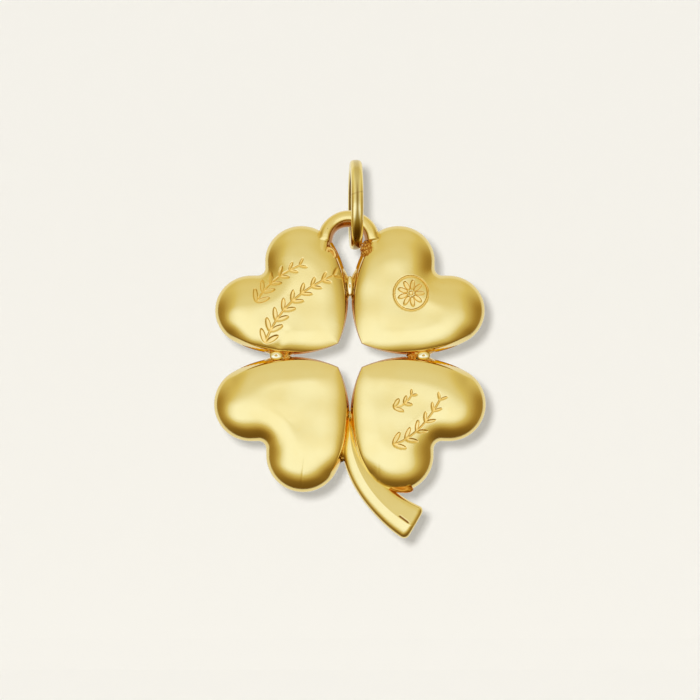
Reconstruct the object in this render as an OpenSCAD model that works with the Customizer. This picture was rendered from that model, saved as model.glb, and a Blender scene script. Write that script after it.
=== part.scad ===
// A four leaf clover pendant: four puffed hearts soldered point to point into one clover, with a
// curved stem below, a strap loop over the top and a jump ring through the loop.
// Millimetres. The front faces -Y, +Z is up, and the origin is the inside of the jump ring's top.

/* [Hearts] */
// How far each heart's point lies from the clover's middle, across and up
tip_in = 1.05; // [0.8:0.05:1.4]
// Distance along a heart's axis from its point to the middles of its lobes
lobe_at = 7.88; // [7.2:0.02:8.6]
// Distance from a heart's axis to the middle of each lobe
lobe_off = 3.28; // [3:0.02:3.6]
// Radius of the lobes
lobe_r = 3.33; // [3:0.01:3.7]
// Radius of the long sides that run from the point to the lobes
side_r = 10.45; // [9:0.05:13]
// Radius of the hollow between the two lobes
notch_r = 0.7; // [0.3:0.05:0.9]
// Thickness of a heart at its crown
heart_t = 4.4; // [3.4:0.1:5.4]
// Size of the upper hearts, as a share of the lower ones
upper_size = 0.984; // [0.94:0.002:1]
// Height of the upper hearts, as a share of their width
upper_squash = 0.964; // [0.92:0.002:1]
// How far the upper hearts lean towards the horizontal, in degrees
upper_lean = 0.8; // [0:0.1:2]
// How far the lower hearts lean towards the vertical, in degrees
lower_lean = 0.7; // [0:0.1:2]

/* [Inner walls of the hearts] */
// How far the steep wall on a heart's two inner sides leans in from the middle to its crease
wall_draft = 0.45; // [0.3:0.05:0.7]
// How deep the puffed heart was filed into on those two sides, which sets how tall their walls are
filed_in = 0.8; // [0.5:0.05:1]

/* [Solder joints] */
// Distance of the joints between neighbouring hearts from the clover's middle
joint_at = 6.15; // [5.6:0.05:6.8]
// Length of each joint along the gap
joint_l = 2.0; // [1.4:0.1:2.6]
// How deep a joint bites into the heart on each side of it
joint_bite = 0.38; // [0.25:0.01:0.6]
// Radius of the solder bead at the outer end of each joint
bead_r = 0.34; // [0.2:0.02:0.5]

/* [Stem] */
// Radius of the stem's curve
stem_r = 11.8; // [10:0.1:14]
// Angle that the stem turns through from its top to its cut end
stem_turn = 60; // [50:1:70]
// Distance of the stem's top below the clover's middle
stem_top = 5.0; // [4.6:0.1:5.6]
// Width of the stem at its top
stem_w_top = 0.3; // [0.2:0.05:0.8]
// Width of the stem at its cut end
stem_w_end = 3.4; // [2.4:0.1:3.8]
// Thickness of the stem at its top
stem_t_top = 1.3; // [1:0.1:2]
// Thickness of the stem at its cut end
stem_t_end = 2.5; // [1.8:0.1:3.2]
// How far the stem's belly swings out of a plain curve
stem_belly = 0.2; // [0:0.05:0.5]
// Rounding at the edges of the cut end
stem_round = 0.16; // [0.08:0.02:0.3]

/* [Loop] */
// Outer radius of the strap loop
loop_r = 2.65; // [2.4:0.05:2.9]
// Height of the loop's middle above the middles of the upper lobes
loop_rise = 1.9; // [1.6:0.05:2.1]
// How far the loop sits to the left of the clover's middle line
loop_shift = 0.12; // [0:0.02:0.3]
// Width of the strap, seen from the front
strap_w = 1.05; // [0.85:0.05:1.2]
// Depth of the strap from front to back
strap_t = 2.6; // [2.2:0.1:3]
// How far the strap's inside bulges at the top of the loop
strap_belly = 0.49; // [0.3:0.01:0.6]
// How far the strap's inside bulges at the sides of the loop
strap_belly_side = 0.21; // [0.1:0.01:0.3]
// Angle above the horizontal at which the loop's curve ends and its straight legs begin
leg_lean = 12; // [6:1:18]
// Length of the straight legs, which run down onto the hearts
leg_l = 1.9; // [1.5:0.05:2.3]

/* [Jump ring] */
// Outer diameter of the jump ring
ring_od = 8.1; // [7.8:0.1:9]
// Thickness of its wire
ring_wire = 1.1; // [0.9:0.05:1.15]
// Play between the inside of the ring and the underside of the strap
ring_play = 0.9; // [0.7:0.05:1]
// How far the ring hangs to the right of the clover's middle line
ring_shift = 0.52; // [0.4:0.01:0.6]
// Turn of the ring about the vertical, in degrees
ring_turn = 2.3; // [0:0.1:3]

/* [Hidden] */

gold = [0.86, 0.68, 0.25];

// Points on the side, lobe and hollow of half a heart
side_n = 14;
lobe_n = 20;
hollow_n = 3;
// Shares of the way round to the lobe at which the sharp crease begins to fade and is gone
crease_end = 0.8;
rolled_from = 1.1;
// Insets of the rings that round a heart's rim, as shares of the wall's draft
RIM = [0.08, 0.35, 1, 2];
// Insets of the rings over a heart's crown, as shares of the way from the last rim ring to the middle
CROWN = [0.28, 0.62];
// Middle of a heart's rings, as a share of the distance from its point to its lobes' middles
crown_at = 0.84;
// Limits that keep a point's inset short where its ray runs along the rim, or where the crown is near
ray_least = 0.6;
inset_most = 0.45;
// Order of the soft distance that puffs the hearts
soft_n = 6;
soft_k = 1.178;

// Columns of the hearts' table: side, up or down, size, lean, squash
SIDE = 0;
UP = SIDE + 1;
SIZE = UP + 1;
LEAN = SIZE + 1;
SQUASH = LEAN + 1;
upper_right = [1, 1, upper_size, -upper_lean, upper_squash];
upper_left = [-1, 1, upper_size, -upper_lean, upper_squash];
lower_left = [-1, -1, 1, lower_lean, 1];
lower_right = [1, -1, 1, lower_lean, 1];
HEARTS = [upper_right, upper_left, lower_left, lower_right];

// Columns of the stem's section: across as a share of half its width, out as a share of half its depth
STEM_SECTION = [
    [-1, 0], [-0.95, 0.42], [-0.7, 0.76], [-0.16, 1], [0.35, 0.9], [0.82, 0.72], [0.97, 0.4], [1, 0]
];
stem_n = 26;
// How much faster than evenly the stem grows at its top
stem_rush = 0.35;
// Points round a solder ball, how far a bead sits back from its joint's end and out of its face
ball_n = 12;
bead_in = 1.2;
bead_out = 0.8;
// Solder runs beside the stem: their spacing and length as shares of the stem, and their thickness
run_step = 1 / 12;
run_l = 1.1 / 12;
run_r = 0.28;
run_more = 0.01;
run_in = 0.05;
// Front edge of the strap's section: in from its outer face as a share of its width, and out from its
// middle as a share of half its depth
STRAP_EDGE = [[0, 0.55], [0.18, 0.86], [0.5, 1], [0.82, 0.97], [1, 0.85]];

// Middle of the side's circle, for the side that bulges towards +v, and where it runs into the lobe
lobe_d = norm([lobe_at, lobe_off]);
side_run = (side_r ^ 2 - (side_r - lobe_r) ^ 2 + lobe_d ^ 2) / (2 * lobe_d);
side_drop = sqrt(side_r ^ 2 - side_run ^ 2);
side_c = [
    (lobe_at * side_run + lobe_off * side_drop) / lobe_d,
    (lobe_off * side_run - lobe_at * side_drop) / lobe_d
];
side_from = atan2(-side_c[1], -side_c[0]);
side_to = atan2(lobe_off - side_c[1], lobe_at - side_c[0]);
hollow_c = lobe_at - lobe_off + lobe_r * sqrt(2) + notch_r * sqrt(2);
lobe_to = [lobe_at, lobe_off] + lobe_r * [1, -1] / sqrt(2);
hollow_from = [hollow_c, 0] + notch_r * [-1, 1] / sqrt(2);

function arc(c, r, a, b, n, first) =
    [for (i = [first:n]) let (at = a + (b - a) * i / n) c + r * [cos(at), sin(at)]];

// Half of a heart's outline, from its point to the bottom of its hollow; u runs along the axis, v across
heart_half = concat(
    arc(side_c, side_r, side_from, side_to, side_n, 0),
    arc([lobe_at, lobe_off], lobe_r, side_to, -45, lobe_n, 1),
    [(lobe_to + hollow_from) / 2],
    arc([hollow_c, 0], notch_r, 135, 180, hollow_n, 0)
);
half_n = len(heart_half);
outline = concat(heart_half, [for (i = [half_n - 2:-1:1]) [heart_half[i][0], -heart_half[i][1]]]);
rim_n = len(outline);
crown_c = [lobe_at * crown_at, 0];

// Each outline point's inward normal, its length of outline, and how rounded the rim is there
function next(i) = outline[(i + 1) % rim_n];
function last(i) = outline[(i + rim_n - 1) % rim_n];
function unit(v) = v / norm(v);
normals = [for (i = [0:rim_n - 1]) let (t = unit(next(i) - last(i))) [t[1], -t[0]]];
lengths = [for (i = [0:rim_n - 1]) norm(next(i) - last(i)) / 2];
function from_tip(i) = min(i, rim_n - i) / side_n;
function round_share(i) = min(1, max(0, (from_tip(i) - crease_end) / (rolled_from - crease_end)));
roundness = [for (i = [0:rim_n - 1]) let (s = round_share(i)) s * s * (3 - 2 * s)];

// Distance to the outline, softened so that the crown has no ridges
function sum(v) = v * [for (x = v) 1];
function pulls(p) = [for (i = [0:rim_n - 1]) lengths[i] / norm(p - outline[i]) ^ soft_n];
function soft_d(p) = (sum(pulls(p)) / soft_k) ^ (-1 / (soft_n - 1));
crown_d = soft_d(crown_c);
function dome(d) = heart_t / 2 * sqrt(1 - (1 - min(d / crown_d, 1)) ^ 2);
// How much outline the file took away, at a rim point and over the crown
function taken(i) = filed_in * (1 - roundness[i]);
function taken_at(p) = let (w = pulls(p)) filed_in * (1 - w * roundness / sum(w));

// A rim point at an inset: a flat wall up to the crease on the inner sides, a round roll on the lobes
function inset(i, d) = let (to = crown_c - outline[i], ray = unit(to))
    outline[i] + ray * min(d / max(ray * normals[i], ray_least), inset_most * norm(to));
function rim_h(i, d) = d >= wall_draft ? dome(d + taken(i)) : let (up = d / wall_draft)
    roundness[i] * dome(d + taken(i) * up) + (1 - roundness[i]) * dome(wall_draft + taken(i)) * up;
function rim_point(i, d) = let (p = inset(i, d)) [p[0], p[1], rim_h(i, d)];
function crown_point(i, s) = let (q = inset(i, RIM[len(RIM) - 1] * wall_draft), p = q + (crown_c - q) * s)
    [p[0], p[1], dome(soft_d(p) + taken_at(p))];
rim_rings = [for (s = RIM) [for (i = [0:rim_n - 1]) rim_point(i, s * wall_draft)]];
crown_rings = [for (s = CROWN) [for (i = [0:rim_n - 1]) crown_point(i, s)]];
front_rings = concat(rim_rings, crown_rings);
equator = [for (p = outline) [p[0], p[1], 0]];

// From a heart's own frame into the clover's upper right quarter
function seated(p, row, face) = let (t = 45 + row[LEAN], s = row[SIZE]) [
    tip_in + s * (p[0] * cos(t) - p[1] * sin(t)),
    -face * p[2],
    tip_in + s * (p[0] * sin(t) + p[1] * cos(t)) * row[SQUASH]
];

// Faces between two rings of a closed skin, and the fan that closes it at a pole
function band(a, b, n) =
    [for (i = [0:n - 1]) let (j = (i + 1) % n) each [[a + i, a + j, b + j], [a + i, b + j, b + i]]];
function fan(a, pole, n) = [for (i = [0:n - 1]) [a + i, a + (i + 1) % n, pole]];
function flipped(faces) = [for (f = faces) [f[2], f[1], f[0]]];

// A closed solid through a row of rings that have as many points each
module tube(rings) {
    n = len(rings[0]);
    k = len(rings);
    sides = [for (j = [0:k - 2]) each band(j * n, (j + 1) * n, n)];
    ends = [[for (i = [0:n - 1]) n - 1 - i], [for (i = [0:n - 1]) (k - 1) * n + i]];
    polyhedron([for (r = rings) each r], concat(sides, ends));
}

module heart(row) {
    rings = len(front_rings);
    sheet = function (face) concat([for (r = front_rings) each [for (p = r) seated(p, row, face)]],
        [seated([crown_c[0], crown_c[1], heart_t / 2], row, face)]);
    points = concat([for (p = equator) seated(p, row, 1)], sheet(1), sheet(-1));
    sheet_n = rings * rim_n + 1;
    skin = function (base) concat(
        band(0, base, rim_n),
        [for (k = [0:rings - 2]) each band(base + k * rim_n, base + (k + 1) * rim_n, rim_n)],
        fan(base + (rings - 1) * rim_n, base + sheet_n - 1, rim_n)
    );
    mirror([row[SIDE] < 0 ? 1 : 0, 0, 0]) mirror([0, 0, row[UP] < 0 ? 1 : 0])
        polyhedron(points, concat(skin(rim_n), flipped(skin(rim_n + sheet_n))));
}

// How far a heart's side stands from the clover's axis at a distance along it: low is the side beside
// the horizontal axis, and the other one is beside the vertical axis
function side_gap(row, at, low) =
    let (t = 45 + row[LEAN], s = row[SIZE], v = low ? -side_c[1] : side_c[1],
        c = [side_c[0] * cos(t) - v * sin(t), side_c[0] * sin(t) + v * cos(t)])
    low ? tip_in + s * row[SQUASH] * (c[1] - sqrt(side_r ^ 2 - ((at - tip_in) / s - c[0]) ^ 2))
        : tip_in + s * (c[0] - sqrt(side_r ^ 2 - ((at - tip_in) / (s * row[SQUASH]) - c[1]) ^ 2));

// A joint fills the gap between two hearts, with a bead at its outer end
module joint(gap_a, gap_b) {
    r = (gap_a + gap_b) / 2 + joint_bite;
    translate([joint_at, 0, (gap_a - gap_b) / 2]) {
        hull() for (e = [-1, 1]) translate([e * (joint_l / 2 - r), 0, 0]) sphere(r, $fn = ball_n);
        translate([joint_l / 2 - bead_in * bead_r, -bead_out * r, 0]) sphere(bead_r, $fn = ball_n);
    }
}

module joints() {
    joint(side_gap(upper_right, joint_at, true), side_gap(lower_right, joint_at, true));
    mirror([1, 0, 0]) joint(side_gap(upper_left, joint_at, true), side_gap(lower_left, joint_at, true));
    rotate([0, -90, 0])
        joint(side_gap(upper_left, joint_at, false), side_gap(upper_right, joint_at, false));
    rotate([0, 90, 0])
        joint(side_gap(lower_right, joint_at, false), side_gap(lower_left, joint_at, false));
}

// The stem's sections: f runs from 0 at its top to 1 at its cut end, and the inset rounds that end
function stem_grow(f) = f * (1 + stem_rush * (1 - f));
function stem_at(f, out) = let (a = stem_turn * f, r = stem_r + stem_belly * sin(180 * f) + out)
    [stem_r - r * cos(a), -stem_top - r * sin(a)];
function stem_ring(f, trim) =
    let (w = stem_w_top + (stem_w_end - stem_w_top) * stem_grow(f) - 2 * trim,
        t = stem_t_top + (stem_t_end - stem_t_top) * stem_grow(f) - 2 * trim,
        n = len(STEM_SECTION),
        loop = concat(STEM_SECTION, [for (i = [n - 2:-1:1]) [STEM_SECTION[i][0], -STEM_SECTION[i][1]]]))
    [for (p = loop) let (q = stem_at(f, -p[0] * w / 2)) [q[0], -p[1] * t / 2, q[1]]];

module stem() {
    edge = stem_round / (stem_r * stem_turn * PI / 180);
    turned = 1 - cos(45);
    rings = concat([for (i = [0:stem_n]) stem_ring(i / stem_n * (1 - edge), 0)],
        [stem_ring(1 - turned * edge, turned * stem_round), stem_ring(1, stem_round)]);
    tube(rings);
}

// Solder between the stem and the lower left heart, from the stem's top down to where they part
module stem_solder() {
    for (i = [1:3]) hull() for (j = [0, 1]) {
        f = i * run_step + j * run_l;
        q = stem_at(f, stem_w_end * stem_grow(f) / 2);
        translate([q[0] - run_in, 0, q[1]]) sphere(run_r + run_more * (i + 2 * j), $fn = ball_n);
    }
}

// The strap's section at an angle round the loop: inwards from its outer face, and out from its middle
function strap_section(a) =
    let (b = strap_belly_side + (strap_belly - strap_belly_side) * sin(a) ^ 2,
        edge = [for (p = STRAP_EDGE) [p[0] * strap_w, p[1] * strap_t / 2]])
    concat([for (p = edge) [p[0], -p[1]]], [[strap_w + b, 0]], [for (i = [len(edge) - 1:-1:0]) edge[i]]);

// The ring of points at an angle, moved down its leg by a length
function strap_ring(a, down) =
    let (out = [cos(a), sin(a)], on = (a < 90 ? 1 : -1) * down * [sin(a), -cos(a)])
    [for (p = strap_section(a)) let (q = (loop_r - p[0]) * out + on)
        [q[0] - loop_shift, p[1], q[1] + loop_z]];

upper_lobe_z = seated([lobe_at, lobe_off, 0], upper_right, 1)[2];
loop_z = upper_lobe_z + loop_rise;
strap_n = 20;
strap_turn = 180 - 2 * leg_lean;

module loop() {
    rings = concat([strap_ring(leg_lean, leg_l)],
        [for (i = [0:strap_n]) strap_ring(leg_lean + strap_turn * i / strap_n, 0)],
        [strap_ring(180 - leg_lean, leg_l)]);
    tube(rings);
}

ring_id = ring_od - 2 * ring_wire;
ring_n = 72;
wire_n = 32;
hole_top = loop_z + loop_r - strap_w - strap_belly;
clover_z = -ring_id + ring_play - hole_top;

module clover() {
    color(gold) translate([-ring_shift, 0, clover_z]) union() {
        for (row = HEARTS) heart(row);
        joints();
        stem();
        stem_solder();
        loop();
    }
}

module jump_ring() {
    color(gold) translate([0, 0, -ring_id / 2]) rotate([0, 0, ring_turn]) rotate([0, 90, 0])
        rotate_extrude($fn = ring_n) translate([(ring_od - ring_wire) / 2, 0])
            circle(d = ring_wire, $fn = wire_n);
}

clover();
jump_ring();
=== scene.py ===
# %% [markdown]
# # A four leaf clover pendant
# Four puffed gold hearts are soldered point to point into a clover. A curved stem is soldered below it,
# a strap loop over its top, and a jump ring hangs through the loop.
#
# The engineering model is loaded first. It gives the real size and place of every part in metres, with
# the front facing -Y and +Z up, so each piece here is built where that model says and needs no fitting.

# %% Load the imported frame
import math
from functools import partial
import bmesh
import bpy
import numpy as np
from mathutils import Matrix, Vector
from mathutils.bvhtree import BVHTree


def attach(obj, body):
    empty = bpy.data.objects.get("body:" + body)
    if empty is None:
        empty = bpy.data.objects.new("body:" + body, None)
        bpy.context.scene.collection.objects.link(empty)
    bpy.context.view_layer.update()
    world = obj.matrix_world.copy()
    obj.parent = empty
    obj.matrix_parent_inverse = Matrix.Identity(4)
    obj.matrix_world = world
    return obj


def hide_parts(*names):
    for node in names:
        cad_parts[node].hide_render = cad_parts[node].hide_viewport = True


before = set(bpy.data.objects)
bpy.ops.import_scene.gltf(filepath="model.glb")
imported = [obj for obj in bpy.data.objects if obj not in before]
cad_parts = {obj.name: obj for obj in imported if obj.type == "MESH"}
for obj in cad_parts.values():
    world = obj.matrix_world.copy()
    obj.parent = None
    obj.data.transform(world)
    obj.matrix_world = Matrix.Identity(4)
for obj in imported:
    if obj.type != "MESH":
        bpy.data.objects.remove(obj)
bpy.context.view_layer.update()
MM = 0.001

# %% [markdown]
# ## From points to a piece
# A jeweller thinks in millimetres and Blender in metres, so shapes are worked out in millimetres and
# scaled once, when the mesh is made. Every piece keeps its object at the origin and its place in its
# mesh. bmesh turns the faces outward, because a mirrored shape comes out inside out.

# %% Make a piece from points and faces
def make_piece(name, points, faces, body="pendant"):
    mesh = bpy.data.meshes.new(name)
    mesh.from_pydata((np.asarray(points) * MM).tolist(), [], faces)
    bm = bmesh.new()
    bm.from_mesh(mesh)
    bmesh.ops.recalc_face_normals(bm, faces=bm.faces)
    for face in bm.faces:
        face.smooth = True
    bm.to_mesh(mesh)
    bm.free()
    piece = bpy.data.objects.new(name, mesh)
    bpy.context.scene.collection.objects.link(piece)
    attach(piece, body)
    print(name, len(mesh.vertices), "points")
    return piece


def store(piece, name, values):
    attribute = piece.data.attributes.new(name, "FLOAT", "POINT")
    attribute.data.foreach_set("value", np.asarray(values, np.float32))


def points_of(mesh):
    return np.array([v.co for v in mesh.vertices]) / MM


def surface_of(mesh):
    return BVHTree.FromPolygons([v.co / MM for v in mesh.vertices], [p.vertices for p in mesh.polygons])


def seen_at(surface, x, z):
    return surface.ray_cast(Vector((x, -5, z)), Vector((0, 1, 0)))[0]


# %% [markdown]
# ## The outline of a heart
# A jewel heart could be drawn by hand with Bezier handles. Here it is three arcs a side, each running
# smoothly into the next: the long side from the point, the round lobe, and the small hollow between the
# lobes. These are the radii that the engineering model has, so both outlines agree, but this one has
# enough points to reflect light without corners.

# %% Draw half a heart with three arcs, and mirror it
tip_in, lobe_at, lobe_off, lobe_r, side_r, notch_r = 1.05, 7.88, 3.28, 3.33, 10.45, 0.7
SIDE_POINTS, FINE_SIDE_POINTS = 116, 300


def smoothstep(x, low, high):
    t = np.clip((x - low) / (high - low), 0, 1)
    return t * t * (3 - 2 * t)


def arc(centre, radius, start, end, count):
    a = np.radians(np.linspace(start, end, count))
    return np.c_[centre[0] + radius * np.cos(a), centre[1] + radius * np.sin(a)]


lobe_d = math.hypot(lobe_at, lobe_off)
side_run = (side_r**2 - (side_r - lobe_r) ** 2 + lobe_d**2) / (2 * lobe_d)
side_drop = math.sqrt(side_r**2 - side_run**2)
side_c = ((lobe_at * side_run + lobe_off * side_drop) / lobe_d,
          (lobe_off * side_run - lobe_at * side_drop) / lobe_d)
side_from = math.degrees(math.atan2(-side_c[1], -side_c[0]))
side_to = math.degrees(math.atan2(lobe_off - side_c[1], lobe_at - side_c[0]))
hollow_c = lobe_at - lobe_off + (lobe_r + notch_r) * math.sqrt(2)


def heart_outline(side_n, lobe_n, run_n, hollow_n):
    lobe = arc((lobe_at, lobe_off), lobe_r, side_to, -45, lobe_n)
    hollow = arc((hollow_c, 0), notch_r, 135, 180, hollow_n)
    run = np.linspace(lobe[-1], hollow[0], run_n)
    half = np.r_[arc(side_c, side_r, side_from, side_to, side_n)[:-1], lobe[:-1], run[:-1], hollow]
    return np.r_[half, half[-2:0:-1] * [1, -1]]


def side_share(points, n):
    i = np.arange(len(points))
    return np.minimum(i, len(points) - i) / (n - 1)


outline = heart_outline(SIDE_POINTS, 150, 12, 18)
fine_outline = heart_outline(FINE_SIDE_POINTS, 380, 30, 50)
along_side, fine_along = side_share(outline, SIDE_POINTS), side_share(fine_outline, FINE_SIDE_POINTS)
rolled, fine_rolled = smoothstep(along_side, 0.8, 1.1), smoothstep(fine_along, 0.8, 1.1)
print("points round a heart:", len(outline))

# %% [markdown]
# ## Puffing the heart
# A stamped heart swells from its rim to a soft crown. A subdivided cage would leave the height to
# chance, so the height is worked out from each point's distance to the rim. The plain distance has a
# sharp ridge down the middle, like a roof, so a softened distance takes over away from the rim.
# The two sides that face its neighbours were filed flat, some way into the puffed shape. That leaves a
# steep wall and a crease. The wall is upright at the heart's point and leans in a little further out,
# and the crease fades out where the lobes begin.

# %% Work out the height of every point of a heart
heart_t, filed_in, deeper_at_point, crown_share = 4.4, 0.8, 0.9, 0.84
wall_at_point, wall_more, crease_at_point, crease_more, roll_width = 0.07, 0.28, 0.06, 0.25, 0.45
wall = wall_at_point + wall_more * smoothstep(along_side, 0.0, 0.75)
crown = np.array([lobe_at * crown_share, 0.0])
fine_step = np.linalg.norm(np.roll(fine_outline, -1, 0) - np.roll(fine_outline, 1, 0), axis=1) / 2
near_point = 1 - smoothstep(fine_along, 0.0, 0.5)
fine_taken = filed_in * (1 - fine_rolled) * (1 + deeper_at_point * near_point)
STRAIGHT_RIM = 1.178  # the pull of a straight rim from 1 mm away, which is three eighths of pi


def rim_distances(points, at_once=3000):
    plain, soft, taken = np.zeros((3, len(points)))
    for k in range(0, len(points), at_once):
        some = slice(k, k + at_once)
        gap = ((points[some, None] - fine_outline[None]) ** 2).sum(2)
        pull = fine_step / np.maximum(gap, 1e-5) ** 3
        plain[some] = np.sqrt(gap.min(1))
        soft[some] = (pull.sum(1) / STRAIGHT_RIM) ** -0.2
        taken[some] = pull @ fine_taken / pull.sum(1)
    return plain, soft, taken


crown_d = rim_distances(crown[None])[1][0]


def dome(d):
    return heart_t / 2 * np.sqrt(1 - (1 - np.minimum(d / crown_d, 1)) ** 2)


# %% [markdown]
# ## Rings of points
# The points lie in rings, each a copy of the outline drawn in towards the crown. They are close together
# at the rim, where the surface bends most. A remeshed grid would cut the crease into steps.

# %% Lay rings of points from the rim to the crown
RIM_SHARES = (0, 0.05, 0.12, 0.22, 0.34, 0.48, 0.63, 0.78, 0.88, 0.96, 1.03, 1.12, 1.24, 1.4, 1.65, 2.0)
rolled_reach, least_wall, front_steps, back_steps = 0.42, 0.08, 84, 22
away = np.roll(outline, -1, 0) - np.roll(outline, 1, 0)
inward = np.c_[-away[:, 1], away[:, 0]]
inward *= np.sign((inward * (crown - outline)).sum(1).mean()) / np.linalg.norm(inward, axis=1)[:, None]
to_crown = crown - outline
crown_reach = np.linalg.norm(to_crown, axis=1)
ray = to_crown / crown_reach[:, None]
slant = np.maximum((ray * inward).sum(1), 0.6)
reach = np.maximum(wall, least_wall)
reach += (rolled_reach - reach) * rolled


def heart_rings(shares, steps):
    rings = [outline + ray * np.minimum(d * reach / slant, 0.45 * crown_reach)[:, None] for d in shares]
    rings += [rings[-1] + (crown - rings[-1]) * k / (steps + 1) for k in range(1, steps + 1)]
    return np.array(rings)


def ring_heights(rings):
    plain, soft, taken = (v.reshape(rings.shape[:2]) for v in rim_distances(rings.reshape(-1, 2)))
    plain[0] = 0
    inside = plain + (soft - plain) * smoothstep(plain, 0.02, 0.35)
    puff = dome(inside + taken)
    roll = dome(inside + taken * np.minimum(plain / roll_width, 1))
    slope = dome(wall + taken) / wall * plain
    crease = crease_at_point + crease_more * smoothstep(along_side, 0.1, 0.6)
    crease = crease * np.minimum(plain / 0.2, 1)
    filed = (slope + puff - np.sqrt((slope - puff) ** 2 + crease**2)) / 2
    height = rolled * roll + (1 - rolled) * filed
    painted = wall * np.sqrt(1 - smoothstep(along_side, 0.55, 0.93)) + 0.001
    return height, 1 - smoothstep(plain / painted, 0.95, 1.1), plain


front_uv = heart_rings(RIM_SHARES, front_steps)
back_uv = heart_rings(RIM_SHARES[::3], back_steps)
front_h, front_wall, front_in = ring_heights(front_uv)
back_h, back_wall, back_in = ring_heights(back_uv)
print("crown height", round(float(front_h.max()), 3), "mm of", heart_t / 2)

# %% [markdown]
# ## Seating the four hearts
# Each heart is turned by 45 degrees and a little lean, and set with its point just off the middle. The
# upper two are slightly smaller and flatter than the lower two. Each could be a copy with its own
# rotation and scale, but then its size would hide in the object. Here the points themselves are moved.

# %% Put a heart's points where the clover has them
upper_size, upper_squash, upper_lean, lower_lean = 0.984, 0.964, 0.8, 0.7
loop_r, loop_rise, loop_shift, leg_lean, leg_l = 2.65, 1.9, 0.12, 12, 1.9
strap_w, strap_t, strap_belly, strap_belly_side = 1.05, 2.6, 0.49, 0.21
ring_od, ring_wire, ring_play, ring_shift, ring_turn = 8.1, 1.1, 0.9, 0.52, 2.3
HEARTS = {
    "upper_right": (1, 1, upper_size, -upper_lean, upper_squash),
    "upper_left": (-1, 1, upper_size, -upper_lean, upper_squash),
    "lower_left": (-1, -1, 1, lower_lean, 1),
    "lower_right": (1, -1, 1, lower_lean, 1),
}


def seat(uv, heart):
    side, up, size, lean, squash = HEARTS[heart]
    t = math.radians(45 + lean)
    across = tip_in + size * (uv[..., 0] * math.cos(t) - uv[..., 1] * math.sin(t))
    height = tip_in + size * (uv[..., 0] * math.sin(t) + uv[..., 1] * math.cos(t)) * squash
    return side * across, up * height


loop_z = seat(np.array([lobe_at, lobe_off]), "upper_right")[1] + loop_rise
ring_id = ring_od - 2 * ring_wire
clover_z = -ring_id + ring_play - (loop_z + loop_r - strap_w - strap_belly)
print("the clover's middle hangs", round(-float(clover_z), 2), "mm below the chain seat")

# %% [markdown]
# ## Building the hearts
# The rings are joined into quads, front and back, with one point closing each crown. A very slight
# unevenness is added to the front, because metal that is polished by hand is never quite true, and
# that is what makes its reflections wander.

# %% Join the rings into a heart
wave_height = 0.006


def band(a, b, n):
    i = np.arange(n)
    j = (i + 1) % n
    return np.c_[a + i, a + j, b + j, b + i].tolist()


def sheet_faces(base, rings, n):
    faces = [f for k in range(rings - 1) for f in band(base + k * n, base + (k + 1) * n, n)]
    pole, last = base + rings * n, base + (rings - 1) * n
    return faces + [[last + i, last + (i + 1) % n, pole] for i in range(n)]


def polish_waves(x, z, seed):
    waves = sum(np.sin(x * fx + z * fz + seed * p) for fx, fz, p in
                ((1.1, 0.6, 1.3), (-0.7, 1.4, 2.1), (1.9, -1.2, 0.7), (0.4, 2.2, 3.9)))
    return wave_height * waves


def smooth_max(a, b, soft):
    return np.maximum(a, b) + np.maximum(soft - np.abs(a - b), 0) ** 2 / (4 * soft)


def line_cut(x, z, mark):
    ax, az, bx, bz, width, depth = mark
    run = np.array([bx - ax, bz - az])
    t = np.clip(((x - ax) * run[0] + (z - az) * run[1]) / (run @ run), 0, 1)
    gap = np.hypot(x - ax - t * run[0], z - az - t * run[1])
    return depth * np.exp(-((gap / width) ** 2)) * (1 - smoothstep(t, 0.75, 1.0))


# Fine lines and creases left by handling, in mm from the clover's middle:
# from x, z to x, z, then how wide and how deep
MARKS = {
    "upper_left": [(-5.8, 2.2, -6.5, 0.4, 0.35, 0.05)],
    "lower_left": [(-4.45, -12.2, -4.0, -8.6, 0.09, 0.03), (-4.3, -12.3, -3.9, -8.8, 0.25, 0.012)],
    "lower_right": [(2.56, -11.3, 2.56, -7.7, 0.08, 0.014), (2.75, -11.75, 2.35, -11.5, 0.1, 0.03)],
}


def heart_sheet(uv, heights, heart, face):
    x, z = seat(uv, heart)
    cx, cz = seat(crown, heart)
    x, z, y = np.r_[x.ravel(), cx], np.r_[z.ravel(), cz], np.r_[heights.ravel(), heart_t / 2]
    fade = smoothstep(y, 0.2, 1.4)
    y = y + polish_waves(x, z, len(heart)) * fade
    if face > 0:
        y = y - sum(line_cut(x, z, mark) for mark in MARKS.get(heart, []))
    return np.c_[x - ring_shift, -face * y, z + clover_z]


# %% [markdown]
# ## A pattern cut with an engraver
# Two hearts carry a row of small leaves and one a daisy in a ring, cut a tenth of a millimetre deep. The
# pattern could be subtracted with a Boolean, which is slow and fragile on a surface this dense. Instead
# Geometry Nodes build each pattern as thin raised shapes on a flat sheet, and a ray through every point
# of the heart reads how deep the cut is there. The patterns themselves are then thrown away.

# %% Helpers for node trees
def socket_of(source):
    return source.outputs[0] if isinstance(source, bpy.types.Node) else source


def new_tree(name, inputs):
    tree = bpy.data.node_groups.new(name, "GeometryNodeTree")
    tree.interface.new_socket("Geometry", in_out="INPUT", socket_type="NodeSocketGeometry")
    for label, kind in inputs:
        tree.interface.new_socket(label, in_out="INPUT", socket_type=f"NodeSocket{kind}")
    tree.interface.new_socket("Geometry", in_out="OUTPUT", socket_type="NodeSocketGeometry")
    return tree, tree.nodes.new("NodeGroupInput").outputs, tree.nodes.new("NodeGroupOutput").inputs


def add(tree, kind, links=None, settings=None, **values):
    node = tree.nodes.new(kind)
    for key, value in (settings or {}).items():
        setattr(node, key, value)
    for label, value in values.items():
        node.inputs[label].default_value = value
    for label, source in (links or {}).items():
        tree.links.new(socket_of(source), node.inputs[label])
    return node


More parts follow.
